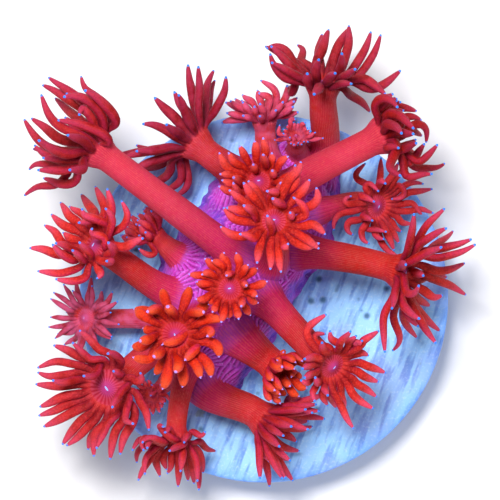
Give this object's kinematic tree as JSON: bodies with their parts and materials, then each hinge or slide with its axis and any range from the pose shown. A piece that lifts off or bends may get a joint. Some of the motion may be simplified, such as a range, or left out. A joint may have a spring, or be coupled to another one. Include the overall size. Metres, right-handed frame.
{
  "type": "goniopora coral",
  "caption": "Coral colony of long soft polyps, each a stalk with a ring of slender tentacles, grown on a round flat disc that it stands on.",
  "frame": {"origin": "centre of the disc's underside, on the surface that the part stands on", "axes": "+Z up, square to the disc; +X to the right and +Y up in the picture, which looks straight down on the disc"},
  "size_m": [0.0401, 0.0399, 0.0229],
  "materials": {
    "disc_ceramic": "matte",
    "colony_tissue": "satin",
    "polyp_stalk": "satin",
    "polyp_crown": "satin"
  },
  "bodies": {
    "root": {"frag_disc": "disc_ceramic", "colony_base": "colony_tissue", "stalk_01": "polyp_stalk", "crown_01": "polyp_crown", "stalk_02": "polyp_stalk", "crown_02": "polyp_crown", "stalk_03": "polyp_stalk", "crown_03": "polyp_crown", "stalk_04": "polyp_stalk", "crown_04": "polyp_crown", "stalk_05": "polyp_stalk", "crown_05": "polyp_crown", "stalk_06": "polyp_stalk", "crown_06": "polyp_crown", "stalk_07": "polyp_stalk", "crown_07": "polyp_crown", "stalk_08": "polyp_stalk", "crown_08": "polyp_crown", "stalk_09": "polyp_stalk", "crown_09": "polyp_crown", "stalk_10": "polyp_stalk", "crown_10": "polyp_crown", "stalk_11": "polyp_stalk", "crown_11": "polyp_crown", "stalk_12": "polyp_stalk", "crown_12": "polyp_crown", "stalk_13": "polyp_stalk", "crown_13": "polyp_crown", "stalk_14": "polyp_stalk", "crown_14": "polyp_crown", "stalk_15": "polyp_stalk", "crown_15": "polyp_crown", "stalk_16": "polyp_stalk", "crown_16": "polyp_crown", "stalk_17": "polyp_stalk", "crown_17": "polyp_crown", "stalk_18": "polyp_stalk", "crown_18": "polyp_crown", "stalk_19": "polyp_stalk", "crown_19": "polyp_crown", "stalk_20": "polyp_stalk", "crown_20": "polyp_crown", "stalk_21": "polyp_stalk", "crown_21": "polyp_crown"}
  },
  "joints": []
}
